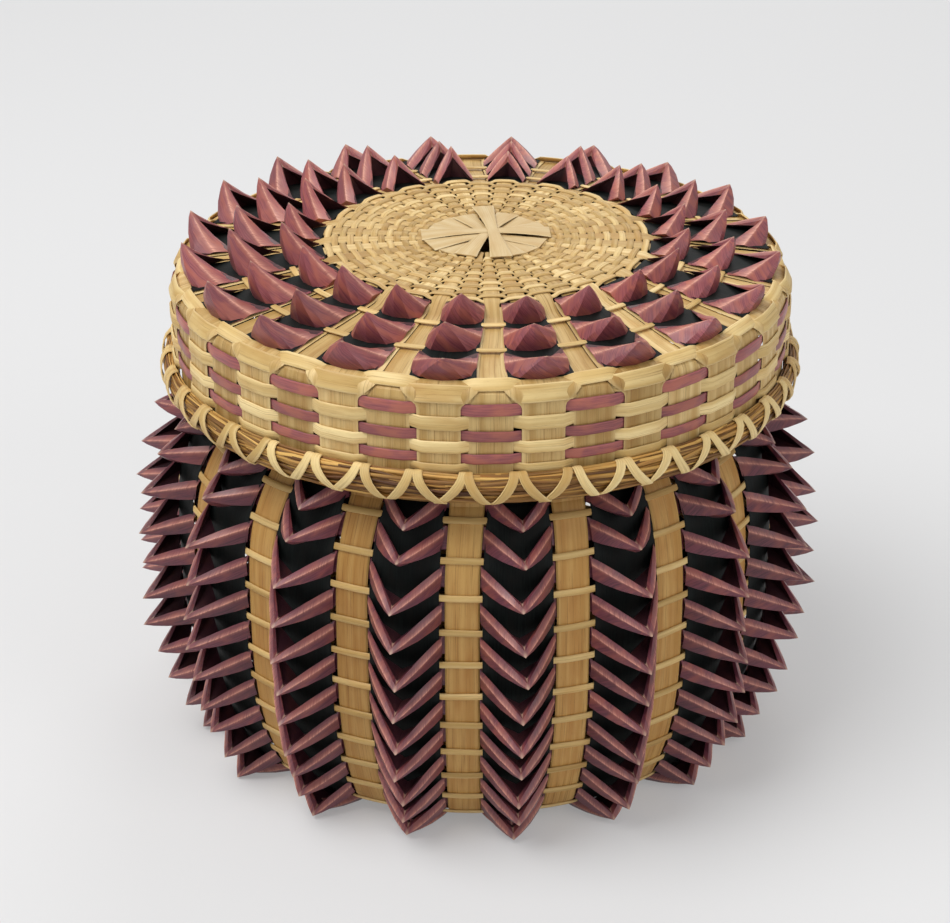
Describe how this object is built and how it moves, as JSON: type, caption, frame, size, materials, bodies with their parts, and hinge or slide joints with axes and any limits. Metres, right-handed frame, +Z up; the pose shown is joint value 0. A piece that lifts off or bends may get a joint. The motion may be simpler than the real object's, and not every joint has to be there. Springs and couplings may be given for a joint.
{
  "type": "lidded splint basket",
  "caption": "Round lidded basket of plaited flat splint: a bellied wall set with rows of folded splint points on a flat base, and a deep drum-shaped lid that lifts off the rim.",
  "frame": {"origin": "middle of the basket's base, on the surface that it stands on", "axes": "+Z up through the lid, -Y towards the side that the picture shows, +X to that side's right"},
  "size_m": [0.1504, 0.1494, 0.1186],
  "materials": {
    "natural_splint": "undyed flat ash splint, tan to honey, split grain along its length, soft satin sheen",
    "black_splint": "ash splint dyed near black with a cool cast, satin",
    "purple_splint": "ash splint dyed a dark plum purple, with fine cross streaks and a coppery sheen on its folds",
    "sweetgrass": "bundle of dry sweetgrass blades, golden brown, glossy along the blades"
  },
  "bodies": {
    "basket": {"natural_uprights": "natural_splint", "black_uprights": "black_splint", "base_weaver": "natural_splint", "thin_weaver_01": "natural_splint", "point_row_01": "purple_splint", "thin_weaver_02": "natural_splint", "point_row_02": "purple_splint", "thin_weaver_03": "natural_splint", "point_row_03": "purple_splint", "thin_weaver_04": "natural_splint", "point_row_04": "purple_splint", "thin_weaver_05": "natural_splint", "point_row_05": "purple_splint", "thin_weaver_06": "natural_splint", "point_row_06": "purple_splint", "thin_weaver_07": "natural_splint", "point_row_07": "purple_splint", "thin_weaver_08": "natural_splint", "point_row_08": "purple_splint", "thin_weaver_09": "natural_splint", "point_row_09": "purple_splint", "thin_weaver_10": "natural_splint", "point_row_10": "purple_splint", "thin_weaver_11": "natural_splint", "point_row_11": "purple_splint", "neck_weaver": "natural_splint", "basket_rim_inner_hoop": "natural_splint", "basket_rim_outer_hoop": "natural_splint", "basket_rim_lashing": "natural_splint"},
    "lid": {"lid_natural_spokes": "natural_splint", "lid_side_spokes": "natural_splint", "lid_black_overlays": "black_splint", "lid_point_row_1": "purple_splint", "lid_thin_weaver_1": "natural_splint", "lid_point_row_2": "purple_splint", "lid_thin_weaver_2": "natural_splint", "lid_point_row_3": "purple_splint", "lid_thin_weaver_3": "natural_splint", "lid_purple_weaver_1": "purple_splint", "lid_side_weaver_1": "natural_splint", "lid_purple_weaver_2": "purple_splint", "lid_side_weaver_2": "natural_splint", "lid_purple_weaver_3": "purple_splint", "lid_side_weaver_3": "natural_splint", "lid_rim_inner_hoop": "natural_splint", "lid_rim_sweetgrass": "sweetgrass", "lid_rim_lashing": "natural_splint", "lid_centre_weave": "natural_splint", "lid_centre_splints": "natural_splint"}
  },
  "joints": [
    {"name": "lid_lift", "type": "slide", "parent": "basket", "child": "lid", "axis": [0, 0, 1], "range_m": [0, 0.03]}
  ]
}
